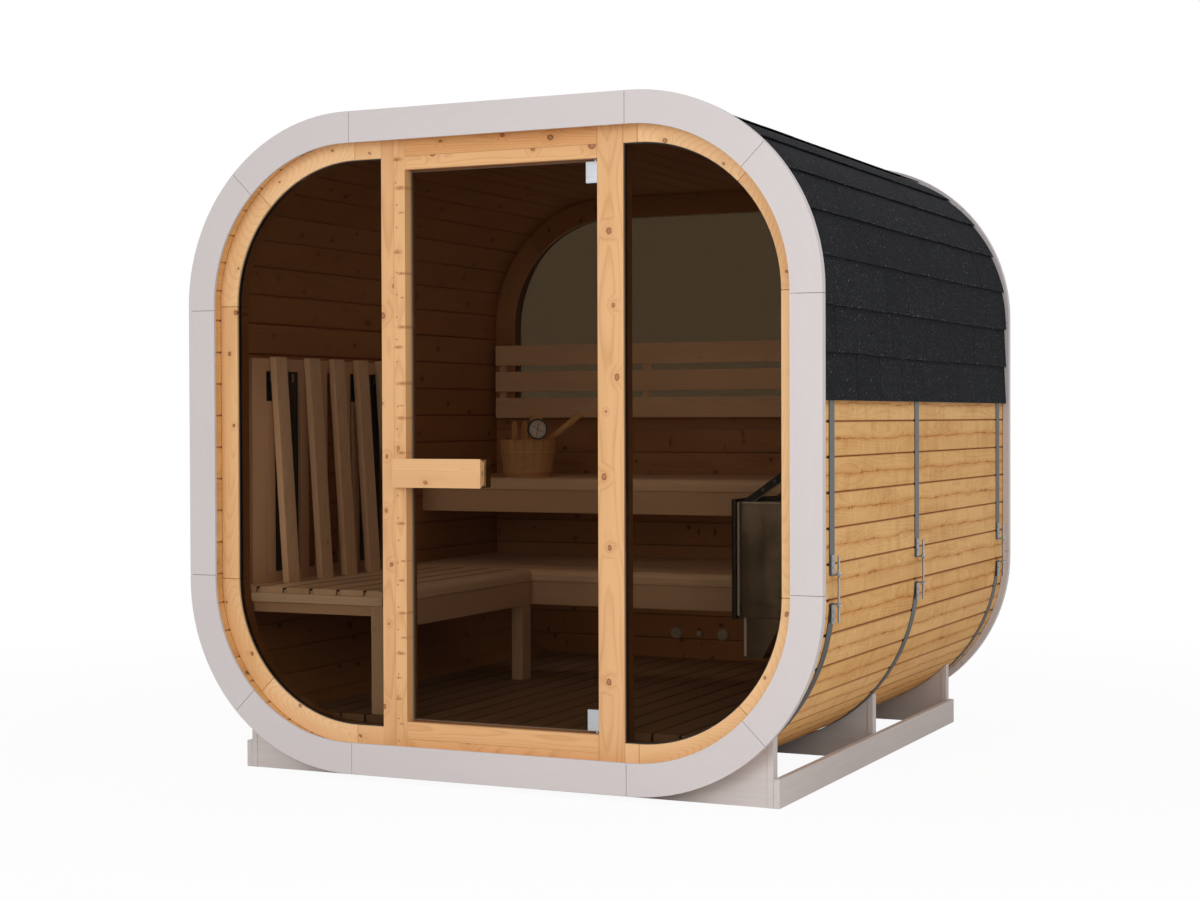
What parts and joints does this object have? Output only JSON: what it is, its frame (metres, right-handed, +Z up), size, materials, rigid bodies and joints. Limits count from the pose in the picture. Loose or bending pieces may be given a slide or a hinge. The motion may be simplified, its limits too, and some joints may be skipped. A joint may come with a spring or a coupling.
{
  "type": "cube sauna",
  "caption": "Outdoor cube sauna: a rounded timber shell on painted cradles, with a glazed front, a glass door, benches, a heater and a shingle roof.",
  "frame": {"origin": "on the ground, under the middle of the cabin's bounding box", "axes": "+X to the right seen from the front, +Y from the front to the rear, +Z up"},
  "size_m": [2.2136, 2.21, 2.128],
  "materials": {
    "shell_wood": "satin oiled softwood planks",
    "frame_wood": "satin knotty softwood",
    "bench_wood": "smooth planed hardwood",
    "pail_wood": "smooth planed wood",
    "painted_timber": "warm grey paint",
    "painted_trim": "pale warm grey paint",
    "tinted_glass": "bronze tinted, clear polish",
    "seal_rubber": "matte black",
    "hinge_metal": "brushed silver",
    "heat_panel": "matte black",
    "heater_steel": "polished stainless",
    "guard_metal": "black perforated sheet",
    "dial_white": "white dial in a dark rim",
    "vent_plastic": "matte pale grey",
    "band_steel": "galvanised",
    "shingles": "mineral-surfaced bitumen shingles"
  },
  "bodies": {
    "cabin": {"cradle_front": "painted_timber", "cradle_middle": "painted_timber", "cradle_rear": "painted_timber", "rail_left": "painted_timber", "rail_right": "painted_timber", "shell_under": "shell_wood", "shell_top": "shell_wood", "shell_left": "shell_wood", "shell_right": "shell_wood", "shell_corner_low_left": "shell_wood", "shell_corner_low_right": "shell_wood", "shell_corner_top_left": "shell_wood", "shell_corner_top_right": "shell_wood", "floor_boards": "shell_wood", "trim_front": "painted_trim", "trim_rear": "painted_trim", "front_frame_round": "frame_wood", "post_left": "frame_wood", "post_right": "frame_wood", "header": "frame_wood", "sill": "frame_wood", "glass_left": "tinted_glass", "glass_right": "tinted_glass", "glass_seals": "seal_rubber", "rear_wall_boards": "shell_wood", "rear_frame_round": "frame_wood", "rear_rail": "frame_wood", "rear_glass": "tinted_glass", "bench_left": "bench_wood", "bench_rear": "bench_wood", "bench_upper": "bench_wood", "bench_legs": "bench_wood", "backrest": "bench_wood", "heat_screen_frame": "bench_wood", "heat_screen_slats": "bench_wood", "heat_panels": "heat_panel", "heater_case": "heater_steel", "heater_cover": "heater_steel", "heater_guard": "guard_metal", "bucket": "pail_wood", "ladle": "pail_wood", "thermometer": "dial_white", "vents": "vent_plastic", "steel_bands": "band_steel", "tensioners_left": "band_steel", "tensioners_right": "band_steel", "shingle_roof": "shingles"},
    "door": {"door_glass": "tinted_glass", "door_hinges": "hinge_metal", "door_pins": "hinge_metal", "door_handle_outer": "frame_wood", "door_handle_inner": "frame_wood"}
  },
  "joints": [
    {"name": "door_hinge", "type": "hinge", "parent": "cabin", "child": "door", "pos_m": [0.34, -1.005, 1], "axis": [0, 0, 1], "range_deg": [0, 100]}
  ]
}
